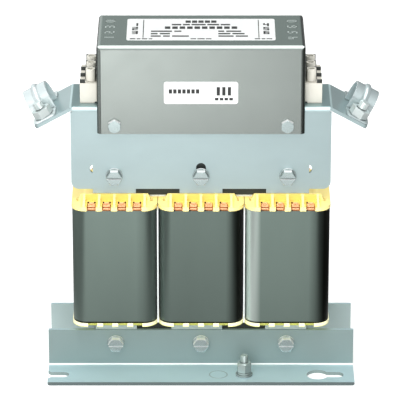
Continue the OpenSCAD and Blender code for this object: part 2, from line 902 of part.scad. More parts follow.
// Section of the clamp strap as (Y, height above the wing): two feet and an arch
module strap_2d() {
    difference() {
        union() {
            translate([0, arch_z]) circle(strap_r);
            translate([-strap_r, 0]) square([2 * strap_r, arch_z]);
            translate([-strap_foot_y, 0]) square([2 * strap_foot_y, strap_t]);
        }
        translate([0, arch_z]) circle(arch_r);
        translate([-arch_r, -strap_r]) square([2 * arch_r, strap_r + arch_z]);
    }
}

// Strap of the right wing, with a stiffening bead over the crown
module shield_strap() {
    bead_r = 2.1;
    bead_ring = strap_r - 0.7;
    bead_start = 14;
    on_wing() translate([strap_x0(), 0, 0]) difference() {
        union() {
            translate([strap_w / 2, 0, 0]) along_x(strap_w) strap_2d();
            translate([strap_w / 2, 0, arch_z]) rotate([90, 0, 90]) rotate(bead_start)
                rotate_extrude(angle = 180 - 2 * bead_start) translate([bead_ring, 0]) circle(bead_r);
        }
        translate([-cut, 0, arch_z]) rotate([0, 90, 0]) cylinder(r = arch_r, h = strap_w + 2 * cut);
        for (s = [-1, 1])
            translate([strap_w / 2, s * stud_y, -cut]) cylinder(d = m6_d, h = strap_t + 2 * cut);
        for (x = [0, 1], y = [0, 1])
            translate([strap_w / 2, 0, -cut]) mirror([x, 0, 0]) mirror([0, y, 0])
                translate([-strap_w / 2, -strap_foot_y, 0])
                    linear_extrude(strap_t + 2 * cut) corner_waste(wing_corner_r);
    }
}

module shield_strap_right() {
    color("silver") shield_strap();
}

module shield_strap_left() {
    color("silver") mirror([1, 0, 0]) shield_strap();
}

module at_clamp_studs() {
    for (side = [0, 1], s = [-1, 1])
        mirror([side, 0, 0]) on_wing() translate([stud_x(), s * stud_y, 0]) children();
}

module clamp_studs() {
    color("silver") at_clamp_studs() translate([0, 0, -sheet_t])
        stud(m6_d, sheet_t + strap_t + m6_nut_h + stud_tail);
}

// A stud with a chamfer at its free end
module stud(d, h) {
    cylinder(d = d, h = h - stud_chamfer);
    translate([0, 0, h - stud_chamfer])
        cylinder(d1 = d, d2 = d - 2 * stud_chamfer, h = stud_chamfer);
}

module clamp_nuts() {
    color("silver") at_clamp_studs()
        translate([0, 0, strap_t]) rotate(-clamp_nut_turn) nut(m6_flats, m6_d, m6_nut_h);
}

// The stud for the earth lug is a little thinner above its nut
module earth_stud() {
    nut_top = sheet_t + washer_t + spring_washer_t + m5_nut_h;
    color("silver") translate([earth_x, earth_y, 0]) {
        cylinder(d = m5_d, h = nut_top);
        stud(earth_end_d, earth_top);
    }
}

module earth_washer() {
    color("silver") translate([earth_x, earth_y, sheet_t]) washer(washer_d, m5_d, washer_t);
}

// Split spring washer
module earth_spring_washer() {
    color("silver") translate([earth_x, earth_y, sheet_t + washer_t]) difference() {
        washer(m5_d + 3.6, m5_d, spring_washer_t);
        rotate(200) translate([0, -0.4, -cut]) cube([washer_d, 0.8, spring_washer_t + 2 * cut]);
    }
}

module earth_nut() {
    color("silver") translate([earth_x, earth_y, sheet_t + washer_t + spring_washer_t])
        rotate(30) nut(m5_flats, m5_d, m5_nut_h);
}

module top_label() {
    color("white") translate([0, top_label_y, hood_z])
        linear_extrude(label_t) round_rect(top_label.x, top_label.y, label_r);
}

module front_label() {
    color("white") translate([0, 0, front_label_z]) along_y(hood_y0 - label_t, hood_y0)
        round_rect(front_label.x, front_label.y, label_r);
}

front_base_bracket();
rear_base_bracket();
core_stack();
core_yoke();
leg_gap_pads();
bobbin_1();
bobbin_2();
bobbin_3();
winding_1();
winding_2();
winding_3();
coil_wrap_1();
coil_wrap_2();
coil_wrap_3();
phase_sheets();
window_strips();
upper_bracket();
rear_yoke_plate();
shelf_rivets();
core_bolts_lower();
core_bolts_upper();
core_bolt_washers();
core_bolt_nuts();
hood();
hood_screws();
hood_nuts();
circuit_board();
board_spacers();
film_capacitors();
damping_resistors();
terminal_block_left();
terminal_block_right();
terminal_barriers_left();
terminal_barriers_right();
terminal_screws();
terminal_cages();
shield_strap_left();
shield_strap_right();
clamp_studs();
clamp_nuts();
earth_stud();
earth_washer();
earth_spring_washer();
earth_nut();
top_label();
front_label();
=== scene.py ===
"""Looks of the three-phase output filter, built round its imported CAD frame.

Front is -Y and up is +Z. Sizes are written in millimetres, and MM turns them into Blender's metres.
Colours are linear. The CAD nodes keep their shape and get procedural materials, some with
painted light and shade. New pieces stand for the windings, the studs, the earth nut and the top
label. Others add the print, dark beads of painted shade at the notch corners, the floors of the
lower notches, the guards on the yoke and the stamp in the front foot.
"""
import math

import bpy
from mathutils import Matrix, Vector


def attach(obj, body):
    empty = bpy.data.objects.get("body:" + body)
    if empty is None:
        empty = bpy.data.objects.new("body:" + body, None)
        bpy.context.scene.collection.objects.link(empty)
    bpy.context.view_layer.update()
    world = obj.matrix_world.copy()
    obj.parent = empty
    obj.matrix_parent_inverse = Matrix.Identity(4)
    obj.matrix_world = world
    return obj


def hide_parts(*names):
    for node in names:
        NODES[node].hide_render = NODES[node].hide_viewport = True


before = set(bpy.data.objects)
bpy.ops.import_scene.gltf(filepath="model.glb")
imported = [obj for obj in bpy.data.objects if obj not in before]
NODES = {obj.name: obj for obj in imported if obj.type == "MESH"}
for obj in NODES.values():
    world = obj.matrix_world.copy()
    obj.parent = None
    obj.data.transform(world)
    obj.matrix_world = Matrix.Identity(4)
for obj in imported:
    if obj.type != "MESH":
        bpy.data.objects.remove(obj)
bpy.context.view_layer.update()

ROOT = "root"
MM = 0.001

# The photograph's camera
FOCAL_PX = 3377.835
FRAME_PX = 400
SENSOR = 36.0
CAMERA_AT = (0.0, -1.84889, 0.84335)
CAMERA_PITCH = 0.38253570769888917
PRINCIPAL_SHIFT = -0.0025

# Sizes repeated from the CAD, in millimetres
LEG_PITCH = 50.5
LEGS = (-LEG_PITCH, 0.0, LEG_PITCH)
COIL_W, COIL_D, COIL_R = 47.7, 60.0, 7.3
TUBE_W, TUBE_D, TUBE_R = 28.8, 39.8, 1.6
COIL_MID, COIL_HALF = 69.25, 35.6
COIL_LOW, COIL_TOP = COIL_MID - COIL_HALF, COIL_MID + COIL_HALF
WIRE_LAYERS = 4
WIRE_R = (COIL_W - TUBE_W) / 2 / WIRE_LAYERS / 2
RIB_PITCH = 8.85
NOTCHES = (-1.5, -0.5, 0.5, 1.5)
NOTCH_W = 4.5
SHEET_T = 2.0
EARTH_X, EARTH_Y = 25.5, -34.4
WING_X, WING_Z, WING_SLOPE = 75.5, 165.0, math.radians(29)
HOOD_TOP = 203.2
LABEL_TOP = 203.34
LABEL_FRONT = -22.2

# Fineness of round shapes
CORNER_STEPS = 6
WIRE_SIDES = 10
SMOOTH_ANGLE, BEVEL_ANGLE = math.radians(28), math.radians(35)

# Stretch of a noise that is the same in all directions, and of one that runs along X
EVEN, ALONG_X = (1.0, 1.0, 1.0), (1.0, 2.0, 2.0)
WHITE = (1.0, 1.0, 1.0)

# The bars of plain seven-bar numbers
SEGMENTS = {
    "0": "abcdef", "1": "bc", "2": "abged", "3": "abgcd", "4": "fgbc", "5": "afgcd", "6": "afgedc",
}

# Lines of print on both labels: left and right end, distance from the top label's front edge or
# above the front label's middle, height of the bars, and their lengths in proportion
TOP_LABEL_LINES = (
    (-9.0, 9.0, 30.5, 4.2, (3,) * 5),
    (-17.0, 17.0, 26.0, 2.4, (4, 3, 6, 5, 4)),
    (-21.0, 21.0, 19.6, 4.4, (2,) * 10),
    (-29.0, -11.4, 14.4, 2.2, (6, 2)),
    (10.0, 23.3, 14.4, 2.2, (2, 5)),
    (-29.0, -18.0, 10.1, 2.2, (2, 3)),
    (10.0, 25.2, 10.1, 2.2, (4, 4)),
    (-29.0, -7.0, 5.8, 2.2, (3, 2, 5)),
    (10.0, 27.1, 5.8, 2.2, (5, 4)),
    (-41.0, -28.0, 1.4, 1.6, (3, 2, 3, 2)),
    (-6.0, 6.0, 1.4, 1.6, (3, 4, 3)),
    (31.0, 41.0, 1.4, 1.6, (3, 2, 3)),
)
FRONT_LABEL_LINES = ((-18.6, -1.0, -0.4, 2.6, (2,) * 7), (8.0, 18.4, -4.6, 1.6, (2,) * 4))
PRINT_T = 0.04


def link(name, data):
    """A new object of the scene."""
    thing = bpy.data.objects.new(name, data)
    bpy.context.scene.collection.objects.link(thing)
    return thing


def make_camera():
    """The camera that was fitted to the photograph."""
    data = bpy.data.cameras.new("camera")
    data.sensor_width = SENSOR
    data.lens = FOCAL_PX / FRAME_PX * SENSOR
    data.shift_x = PRINCIPAL_SHIFT
    camera = link("camera", data)
    camera.location = CAMERA_AT
    camera.rotation_euler = (math.pi / 2 - CAMERA_PITCH, 0.0, 0.0)
    bpy.context.scene.camera = camera


class Nodes:
    """Short calls for building one node tree. Most add nodes and give an output socket."""

    def __init__(self, tree):
        self.tree = tree

    def feed(self, value, socket):
        """Links another node's socket to this one, or sets it to a number, vector or colour."""
        if isinstance(value, bpy.types.NodeSocket):
            self.tree.links.new(value, socket)
        elif socket.type == "RGBA":
            socket.default_value = tuple(value) + (1.0,)
        else:
            socket.default_value = value

    def add(self, kind, inputs=None, **settings):
        node = self.tree.nodes.new(kind)
        for key, value in settings.items():
            setattr(node, key, value)
        for key, value in (inputs or {}).items():
            self.feed(value, node.inputs[key])
        return node

    def math(self, operation, a, b=0.0):
        return self.add("ShaderNodeMath", {0: a, 1: b}, operation=operation).outputs[0]

    def plus(self, a, b):
        return self.math("ADD", a, b)

    def minus(self, a, b):
        return self.math("SUBTRACT", a, b)

    def times(self, a, b):
        return self.math("MULTIPLY", a, b)

    def larger(self, a, b):
        return self.math("MAXIMUM", a, b)

    def absolute(self, a):
        return self.math("ABSOLUTE", a)

    def nearest(self, value, pitch):
        """The multiple of pitch that is nearest to value."""
        return self.times(self.math("ROUND", self.math("DIVIDE", value, pitch)), pitch)

    def ramp(self, value, low, high, to_low=0.0, to_high=1.0):
        """Goes from to_low at low to to_high at high, and stays level beyond them."""
        return self.add("ShaderNodeMapRange", {
            "Value": value, "From Min": low, "From Max": high, "To Min": to_low, "To Max": to_high,
        }).outputs[0]

    def band(self, value, rise, fall):
        """1 between a rise and a fall, each given as where it is 0 and where it is 1."""
        return self.times(self.ramp(value, *rise), self.ramp(value, *fall))

    def mix(self, factor, a, b):
        """Colour a where factor is 0, and b where it is 1."""
        return self.add("ShaderNodeMix", {0: factor, 6: a, 7: b}, data_type="RGBA").outputs[2]

    def position(self, stretch=EVEN):
        coords = self.add("ShaderNodeTexCoord").outputs["Object"]
        return self.add("ShaderNodeMapping", {"Vector": coords, "Scale": stretch}).outputs[0]

    def split(self, vector):
        node = self.add("ShaderNodeSeparateXYZ", {0: vector})
        return [node.outputs[axis] for axis in "XYZ"]

    def xyz(self):
        """Where a point of the surface is, in metres, as three sockets."""
        return self.split(self.position())

    def facing(self):
        """How far a surface faces along X, Y and Z, each from -1 to 1, as three sockets."""
        return self.split(self.add("ShaderNodeNewGeometry").outputs["Normal"])

    def noise(self, scale, stretch=EVEN):
        return self.add("ShaderNodeTexNoise", {
            "Vector": self.position(stretch), "Scale": scale, "Detail": 3.0, "Roughness": 0.55,
        }).outputs["Fac"]

    def wander(self, scale, low=0.0, high=1.0, stretch=EVEN):
        """Noise that goes from low to high."""
        return self.ramp(self.noise(scale, stretch), 0.3, 0.7, low, high)

    def bump(self, height, depth):
        """A normal for relief of a depth in millimetres."""
        return self.add("ShaderNodeBump", {
            "Height": height, "Distance": depth * MM, "Strength": 1.0,
        }).outputs[0]


def material(name, colour, roughness, normal=None, metallic=None, **constants):
    """A principled material. Each recipe takes the Nodes of its tree and gives a socket."""
    mat = bpy.data.materials.new(name)
    mat.use_nodes = True
    nodes = Nodes(mat.node_tree)
    shader = mat.node_tree.nodes["Principled BSDF"]
    for key, value in constants.items():
        nodes.feed(value, shader.inputs[key.replace("_", " ")])
    for socket, recipe in (("Base Color", colour), ("Roughness", roughness), ("Normal", normal),
                           ("Metallic", metallic)):
        if recipe:
            nodes.feed(recipe(nodes), shader.inputs[socket])
    return mat


def shade(colour, factor):
    return tuple(min(1.0, c * factor) for c in colour)


def mottled(base, amount, scale, stretch=EVEN):
    """A recipe for a colour that wanders a little round base."""
    return lambda nodes: nodes.mix(nodes.wander(scale, stretch=stretch),
                                   shade(base, 1 - amount), shade(base, 1 + amount))


def varied(low, high, scale, stretch=EVEN):
    """A recipe for a roughness that wanders from low to high."""
    return lambda nodes: nodes.wander(scale, low, high, stretch)


def grained(scale, depth, stretch=EVEN):
    """A recipe for a normal with grain of a depth in millimetres."""
    return lambda nodes: nodes.bump(nodes.noise(scale, stretch), depth)


def shade_creases(recipe, dark):
    """A recipe for a colour with painted shade in narrow creases, from ambient occlusion."""
    reach = 1.6

    def colour(nodes):
        openness = nodes.add("ShaderNodeAmbientOcclusion", {"Distance": reach * MM}, samples=8)
        return nodes.mix(nodes.ramp(openness.outputs["AO"], 0.4, 0.85), dark, recipe(nodes))

    return colour


def from_nearest_coil(nodes, x):
    """The middle of the nearest coil along X, and how far to the right of it x is."""
    middle = nodes.nearest(x, LEG_PITCH * MM)
    return middle, nodes.minus(x, middle)


def sheet_steel():
    """Zinc coated sheet of the upper bracket, with a painted highlight along the wings' folds and
    painted shade where it lies level."""
    base, level_shade_tone = (0.465, 0.582, 0.592), (0.30, 0.42, 0.43)

    def colour(nodes):
        right, _, up = nodes.facing()
        sideways = nodes.absolute(right)
        plain = mottled(base, 0.02, 45, ALONG_X)(nodes)
        # Painted highlight on the wings' folds, painted shade on level faces.
        fold = nodes.times(nodes.ramp(up, 0.885, 0.91), nodes.ramp(sideways, 0.03, 0.1))
        level = nodes.times(nodes.ramp(up, 0.84, 0.93), nodes.ramp(sideways, 0.1, 0.03))
        return nodes.mix(level, nodes.mix(fold, plain, shade(base, 1.5)), level_shade_tone)

    return material("zinc_sheet", colour=colour, roughness=varied(0.28, 0.32, 60),
                    normal=grained(350, 0.004), Metallic=0.65)


def base_steel(name, upright):
    """Duller zinc of the base angles, with painted shade on the upright faces, which are darker
    than the flat ones. The fold has a painted highlight, and the cut edge of the front foot painted
    shade."""
    # Flat faces, then the painted highlight of the fold and the painted shade of the cut edge.
    flat, fold, edge = (0.54, 0.71, 0.75), (0.95, 1.0, 1.0), (0.15, 0.19, 0.19)
    edge_start, edge_full = -44.9 * MM, -45.1 * MM

    def colour(nodes):
        level = nodes.absolute(nodes.facing()[2])
        grain = nodes.wander(45, 0.97, 1.03, ALONG_X)
        plain = nodes.mix(nodes.times(nodes.ramp(level, 0.2, 0.8), grain), upright, flat)
        # Painted highlight on the fold, and painted shade on the foot's cut edge.
        fold_highlight = nodes.band(level, (0.15, 0.35), (0.97, 0.85))
        edge_shade_mask = nodes.ramp(nodes.xyz()[1], edge_start, edge_full)
        return nodes.mix(edge_shade_mask, nodes.mix(fold_highlight, plain, fold), edge)

    return material(name, colour=colour, roughness=varied(0.42, 0.48, 60),
                    normal=grained(350, 0.004), Metallic=0.4)


def plated(name, base, metal, rough=(0.2, 0.26), shaded_right=False):
    """Bright plating with painted shade in narrow creases. With shaded_right, faces turned to +X
    get painted shade as well."""
    # Colours of the painted crease shade and of the painted shade on faces turned to +X.
    crease_shade, shadow = (0.15, 0.18, 0.18), (0.08, 0.10, 0.095)
    recipe = shade_creases(mottled(base, 0.03, 120), crease_shade)

    def dimmed(nodes):
        return nodes.mix(nodes.ramp(nodes.facing()[0], 0.1, 0.5, 0.0, 0.5), recipe(nodes), shadow)

    return material(name, colour=dimmed if shaded_right else recipe, roughness=varied(*rough, 150),
                    normal=grained(500, 0.003), Metallic=metal)


def bolt_zinc():
    """Bright zinc of the bolts and screws, with a painted white highlight where faces look up.
    Those of the upper bracket and the hood have painted shade in their creases and less of the
    highlight."""
    split_low, split_high = 60 * MM, 70 * MM
    plain = mottled((0.50, 0.59, 0.585), 0.03, 120)
    crease_shaded = shade_creases(plain, (0.24, 0.28, 0.28))

    # Share of the painted highlight on faces that look up, smaller high up.
    def up_highlight(nodes):
        height = nodes.xyz()[2]
        return nodes.ramp(nodes.facing()[2], nodes.ramp(height, split_low, split_high, 0.25, 0.7),
                          nodes.ramp(height, split_low, split_high, 0.5, 0.9))

    def colour(nodes):
        is_high = nodes.ramp(nodes.xyz()[2], split_low, split_high)
        return nodes.mix(up_highlight(nodes), nodes.mix(is_high, plain(nodes), crease_shaded(nodes)), WHITE)

    def metallic(nodes):
        return nodes.times(nodes.minus(1.0, up_highlight(nodes)), 0.75)

    return material("bolt_zinc", colour=colour, roughness=varied(0.2, 0.26, 150),
                    normal=grained(500, 0.003), metallic=metallic)


def hood_paint():
    """Grey paint of the hood, painted lighter on top, with a little painted shade low down and
    painted shade at its left and right upright corners."""
    base, top = (0.375, 0.417, 0.394), (0.40, 0.475, 0.44)
    left_shade_tone, painted_shade = (0.13, 0.155, 0.145), (0.04, 0.045, 0.04)

    def colour(nodes):
        right, _, up = nodes.facing()
        left = nodes.times(right, -1.0)
        # Painted shade low down, and a painted lighter tone on top.
        plain = nodes.mix(nodes.ramp(nodes.xyz()[2], 150 * MM, 175 * MM), shade(base, 0.93),
                          mottled(base, 0.02, 35)(nodes))
        plain = nodes.mix(nodes.ramp(up, 0.9, 0.97), plain, top)
        # Painted shade at the left corner, darkest on its rim, and at the right corner.
        dim = nodes.mix(nodes.band(left, (0.55, 0.8), (0.98, 0.9)), plain, left_shade_tone)
        left_rim = nodes.band(left, (0.75, 0.85), (0.995, 0.985))
        right_corner = nodes.band(right, (0.2, 0.45), (0.98, 0.9))
        return nodes.mix(nodes.plus(left_rim, right_corner), dim, painted_shade)

    return material("grey_paint", colour=colour, roughness=varied(0.19, 0.23, 90),
                    normal=grained(500, 0.003), Metallic=0.9)


def core_steel():
    """Thin sheets stacked along Y, with a dark varnish line between neighbours."""
    varnish, steel = (0.03, 0.036, 0.034), (0.115, 0.137, 0.128)
    half_sheet, line_low, line_high = 0.25 * MM, 0.02 * MM, 0.09 * MM

    def sheets(nodes):
        wave = nodes.math("PINGPONG", nodes.xyz()[1], half_sheet)
        return nodes.ramp(wave, line_low, line_high)

    def colour(nodes):
        patches = nodes.ramp(nodes.noise(120), 0.2, 0.8, 0.5, 1.0)
        return nodes.mix(nodes.times(sheets(nodes), patches), varnish, steel)

    return material("core_laminations", colour=colour, roughness=varied(0.38, 0.55, 200),
                    normal=lambda nodes: nodes.bump(sheets(nodes), 0.04), Metallic=0.3)


def wrap_film():
    """Dark film of the coil wraps, with painted shade that is deepest at each coil's right corners
    and along the lower hem, slight at the left corners, and a little deeper on the middle coil. The
    right coil has a painted highlight streak at its front left corner."""
    base, painted_shade, gleam_tone = (0.25, 0.322, 0.288), (0.008, 0.009, 0.006), (0.90, 1.0, 0.94)

    def colour(nodes):
        x, y, z = nodes.xyz()
        coil, across = from_nearest_coil(nodes, x)
        # Painted shade and, on the right coil, a painted highlight streak.
        middle = nodes.ramp(nodes.absolute(coil), 0.0, LEG_PITCH * MM, 0.21, 0.0)
        right = nodes.ramp(across, 12.5 * MM, 21.5 * MM)
        right = nodes.times(right, nodes.ramp(x, -24 * MM, 0.0, 0.45, 0.98))
        right = nodes.times(right, nodes.ramp(nodes.facing()[0], 0.995, 0.975))
        gleam = nodes.band(x, (25 * MM, 27 * MM), (35 * MM, 29 * MM))
        gleam = nodes.times(gleam, nodes.ramp(y, 0.0, -10 * MM))
        left = nodes.ramp(across, -16 * MM, -24 * MM, 0.0, 0.1)
        left = nodes.times(left, nodes.minus(1.0, gleam))
        hem = nodes.ramp(z, 35.0 * MM, 34.2 * MM)
        film = nodes.mix(nodes.wander(28, stretch=(1.0, 1.0, 0.3)), shade(base, 0.95),
                         shade(base, 1.05))
        dark = nodes.larger(nodes.larger(nodes.plus(left, right), middle), hem)
        return nodes.mix(dark, nodes.mix(gleam, film, gleam_tone), painted_shade)

    return material("coil_wrap_film", colour=colour,
                    roughness=varied(0.28, 0.32, 60, (1.0, 1.0, 0.2)),
                    normal=grained(200, 0.008, (1.0, 1.0, 0.25)), Metallic=0.9)


def yellow_moulding():
    """Yellow of the coil formers, painted paler as a highlight on the rims, ribs and collars of the
    upper flanges. The lower flanges are painted cream as if lit, with greenish painted shade in
    their recesses and undersides."""
    deep, pale = (0.66, 0.43, 0.075), (0.80, 0.70, 0.28)
    cream, greenish = (0.78, 0.75, 0.46), (0.50, 0.52, 0.10)

    def colour(nodes):
        x, y, z = nodes.xyz()
        across = nodes.absolute(from_nearest_coil(nodes, x)[1])
        away = nodes.absolute(y)
        off_rib = nodes.absolute(nodes.minus(across, nodes.nearest(across, RIB_PITCH * MM)))
        # Painted highlight on the rims, outer sides, collars and ribs.
        light = nodes.ramp(away, 29.5 * MM, 31.0 * MM, 0.15, 1.0)
        light = nodes.larger(light, nodes.ramp(across, 17.0 * MM, 20.0 * MM, 0.0, 0.8))
        light = nodes.larger(light, nodes.ramp(away, 19.85 * MM, 19.6 * MM, 0.0, 0.8))
        light = nodes.larger(light, nodes.ramp(off_rib, 0.95 * MM, 0.75 * MM))
        upper = nodes.mix(nodes.times(light, nodes.wander(90, 0.9, 1.0)), deep, pale)
        # Painted shade in the lower recesses and undersides.
        recess = nodes.times(nodes.ramp(away, 29.7 * MM, 29.2 * MM),
                             nodes.ramp(across, 18.5 * MM, 17.5 * MM))
        under = nodes.ramp(z, 31.9 * MM, 31.5 * MM)
        lower = nodes.mix(nodes.larger(recess, under), cream, greenish)
        return nodes.mix(nodes.ramp(z, 45 * MM, 40 * MM), upper, lower)

    return material("yellow_moulding", colour=colour, roughness=varied(0.36, 0.46, 350),
                    normal=grained(700, 0.02))


def moulded(name, base, amount=0.03, low=0.36, high=0.46, grain=700, crease_shade=None):
    """Moulded plastic, board, film or print, with a fine grain, and painted shade in narrow creases
    when a shade colour is given.
    """
    recipe = mottled(base, amount, 90)
    return material(name, colour=shade_creases(recipe, crease_shade) if crease_shade else recipe,
                    roughness=varied(low, high, 350), normal=grained(grain, 0.02))


def copper_wire():
    """Copper under clear enamel."""
    return material("copper_wire", colour=mottled((0.88, 0.43, 0.20), 0.12, 400),
                    roughness=varied(0.24, 0.36, 500), normal=grained(2000, 0.01), Metallic=0.4,
                    Coat_Weight=0.5, Coat_Roughness=0.15)


def smooth_group():
    """Geometry nodes that shade faces smooth and keep edges over SMOOTH_ANGLE sharp."""
    group = bpy.data.node_groups.new("smooth_by_angle", "GeometryNodeTree")
    group.interface.new_socket("Geometry", in_out="INPUT", socket_type="NodeSocketGeometry")
    group.interface.new_socket("Geometry", in_out="OUTPUT", socket_type="NodeSocketGeometry")
    group.is_modifier = True
    nodes = Nodes(group)
    start, end = nodes.add("NodeGroupInput"), nodes.add("NodeGroupOutput")
    angle = nodes.add("GeometryNodeInputMeshEdgeAngle").outputs["Unsigned Angle"]
    soft = nodes.add("FunctionNodeCompare", {"A": angle, "B": SMOOTH_ANGLE},
                     data_type="FLOAT", operation="LESS_THAN").outputs[0]
    faces = nodes.add("GeometryNodeSetShadeSmooth",
                      {"Geometry": start.outputs[0], "Shade Smooth": True}, domain="FACE")
    edges = nodes.add("GeometryNodeSetShadeSmooth",
                      {"Geometry": faces.outputs[0], "Shade Smooth": soft}, domain="EDGE")
    nodes.feed(edges.outputs[0], end.inputs[0])
    return group


SMOOTH = smooth_group()


def soften(piece, bevel=None):
    """Rounds a piece's hard edges by bevel, in millimetres, and shades its curves smooth."""
    if bevel:
        weld = piece.modifiers.new("weld", "WELD")
        weld.merge_threshold = 0.002 * MM
        rounding = piece.modifiers.new("bevel", "BEVEL")
        rounding.width = bevel * MM
        rounding.segments = 2
        rounding.limit_method = "ANGLE"
        rounding.angle_limit = BEVEL_ANGLE
        rounding.harden_normals = False
        rounding.use_clamp_overlap = True
    piece.modifiers.new("smooth", "NODES").node_group = SMOOTH
    if bevel:
        weighted = piece.modifiers.new("weighted", "WEIGHTED_NORMAL")
        weighted.keep_sharp = True
        weighted.weight = 80


def dress(names, mat, bevel=None):
    """Gives CAD nodes a material and soft edges."""
    for name in names:
        node = NODES[name]
        node.data.materials.clear()
        node.data.materials.append(mat)
        soften(node, bevel)


class Shape:
    """The points, in millimetres, and the faces of one mesh. A ring is a closed row of points."""

    def __init__(self):
        self.points, self.faces = [], []

    def ring(self, points):
        start = len(self.points)
        self.points += points
        return range(start, len(self.points))

    def bridge(self, low, high):
        """Joins two rings. The faces look outward where both run anticlockwise, seen from high."""
        for i in range(len(low)):
            j = (i + 1) % len(low)
            self.faces.append((low[i], low[j], high[j], high[i]))

    def loft(self, rings, capped=True):
        """Joins each ring to the next."""
        rings = [self.ring(points) for points in rings]
        for low, high in zip(rings, rings[1:]):
            self.bridge(low, high)
        if capped:
            self.faces += [tuple(reversed(rings[0])), tuple(rings[-1])]

    def hoop(self, rings):
        """Joins each ring to the next, and the last to the first."""
        rings = [self.ring(points) for points in rings]
        for low, high in zip(rings, rings[1:] + rings[:1]):
            self.bridge(low, high)

    def box(self, x0, x1, y0, y1, z0, z1):
        start = len(self.points)
        self.points += [(x, y, z) for z in (z0, z1) for y in (y0, y1) for x in (x0, x1)]
        for face in ((0, 2, 3, 1), (4, 5, 7, 6), (0, 1, 5, 4), (2, 6, 7, 3), (0, 4, 6, 2),
                     (1, 3, 7, 5)):
            self.faces.append(tuple(start + i for i in face))

    def add(self, other, matrix):
        """Adds another shape, moved by a matrix."""
        start = len(self.points)
        self.points += [tuple(matrix @ Vector(point)) for point in other.points]
        self.faces += [tuple(start + i for i in face) for face in other.faces]

    def make(self, name, mat, stands_for=(), bevel=None):
        """Turns the shape into a piece on the root body."""
        mesh = bpy.data.meshes.new(name)
        mesh.from_pydata([(x * MM, y * MM, z * MM) for x, y, z in self.points], [], self.faces)
        mesh.validate()
        mesh.update()
        mesh.materials.append(mat)
        piece = link(name, mesh)
        soften(piece, bevel)
        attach(piece, ROOT)
        if stands_for:
            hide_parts(*stands_for)


def full_turn(steps):
    """Angles of one turn, in even steps."""
    return [2 * math.pi * k / steps for k in range(steps)]


def rounded_loop(width, depth, radius):
    """Points of a rectangle with round corners, centred on the origin, anticlockwise."""
    points = []
    for corner, (sx, sy) in enumerate(((1, 1), (-1, 1), (-1, -1), (1, -1))):
        cx, cy = sx * (width / 2 - radius), sy * (depth / 2 - radius)
        for i in range(CORNER_STEPS + 1):
            a = math.pi / 2 * (corner + i / CORNER_STEPS)
            points.append((cx + radius * math.cos(a), cy + radius * math.sin(a)))
    return points


def wire_turn(shape, x, z, depth, radius):
    """One turn of wire whose centre line runs at a given depth inside the coil's outline."""
    tightest = 0.6
    rings = []
    for a in full_turn(WIRE_SIDES):
        inset = depth - radius * math.cos(a)
        loop = rounded_loop(COIL_W - 2 * inset, COIL_D - 2 * inset, max(COIL_R - inset, tightest))
        rings.append([(x + px, py, z + radius * math.sin(a)) for px, py in loop])
    shape.hoop(rings)


def wire_bar(shape, x, y, z, length, radius):
    """A short straight stretch of wire along X, with chamfered ends."""
    chamfer, tip = 0.35, 0.55
    rings = []
    for along, share in ((0.0, tip), (chamfer, 1.0), (length - chamfer, 1.0), (length, tip)):
        rings.append([(x - length / 2 + along, y + share * radius * math.cos(a),
                       z + share * radius * math.sin(a)) for a in full_turn(WIRE_SIDES)])
    shape.loft(rings)


def notch_wires(shape, coil_x):
    """The wires seen in a coil's upper notches. Three turns rise at each mouth, given by their
    distance from the coil's middle, height over its top and length, and two lie behind them."""
    mouth, mouth_r = ((29.1, 0.55, 4.4), (28.4, 2.0, 4.4), (27.3, 3.45, 3.0)), 0.62
    sunk, slack = 0.2, 0.93
    for notch in NOTCHES:
        x = coil_x + notch * RIB_PITCH
        for side in (-1, 1):
            for out, rise, length in mouth:
                wire_bar(shape, x, side * out, COIL_TOP + rise, length, mouth_r)
            for row in (1, 2):
                wire_bar(shape, x, side * (COIL_D / 2 - WIRE_R * (1 + 2 * row)),
                         COIL_TOP + WIRE_R - sunk, NOTCH_W, WIRE_R * slack)


def coil_turns(index, mat):
    """The end turns of each wire layer, round a plain middle that the wrap hides, and the wires in
    the notches."""
    end_turns, slack = 3, 0.97
    x = LEGS[index]
    shape = Shape()
    notch_wires(shape, x)
    for turn in range(end_turns):
        for row in range(WIRE_LAYERS):
            for end in (-1, 1):
                z = COIL_MID + end * (COIL_HALF - WIRE_R * (1 + 2 * turn))
                wire_turn(shape, x, z, WIRE_R * (1 + 2 * row), WIRE_R * slack)
    half = COIL_HALF - 2 * WIRE_R * end_turns
    low_out, high_out, low_in, high_in = (
        shape.ring([(x + px, py, z) for px, py in rounded_loop(*outline)])
        for outline in ((COIL_W, COIL_D, COIL_R), (TUBE_W, TUBE_D, TUBE_R))
        for z in (COIL_MID - half, COIL_MID + half))
    for low, high in ((low_out, high_out), (high_in, low_in), (high_out, high_in),
                      (low_in, low_out)):
        shape.bridge(low, high)
    name = f"winding_{index + 1}"
    shape.make(name + "_turns", mat, stands_for=(name,))


def threaded_rod(crest, length, pitch, plain):
    """A threaded rod from z 0 to length, with a chamfered end and no thread below plain. crest
    gives its outer radius at a height."""
    depth, tip, steps, rows_per_turn = 0.3, 0.5, 24, 4
    step = pitch / rows_per_turn
    rings = []
    for row in range(int(round(length / step)) + 1):
        z = min(row * step, length)
        ring = []
        for k, a in enumerate(full_turn(steps)):
            phase = (z / pitch - k / steps) % 1.0
            r = crest(z) - (depth * (1 - abs(2 * phase - 1)) if z >= plain else 0.0)
            r = min(r, crest(length) - tip + (length - z))
            ring.append((r * math.cos(a), r * math.sin(a), z))
        rings.append(ring)
    shape = Shape()
    shape.loft(rings)
    return shape


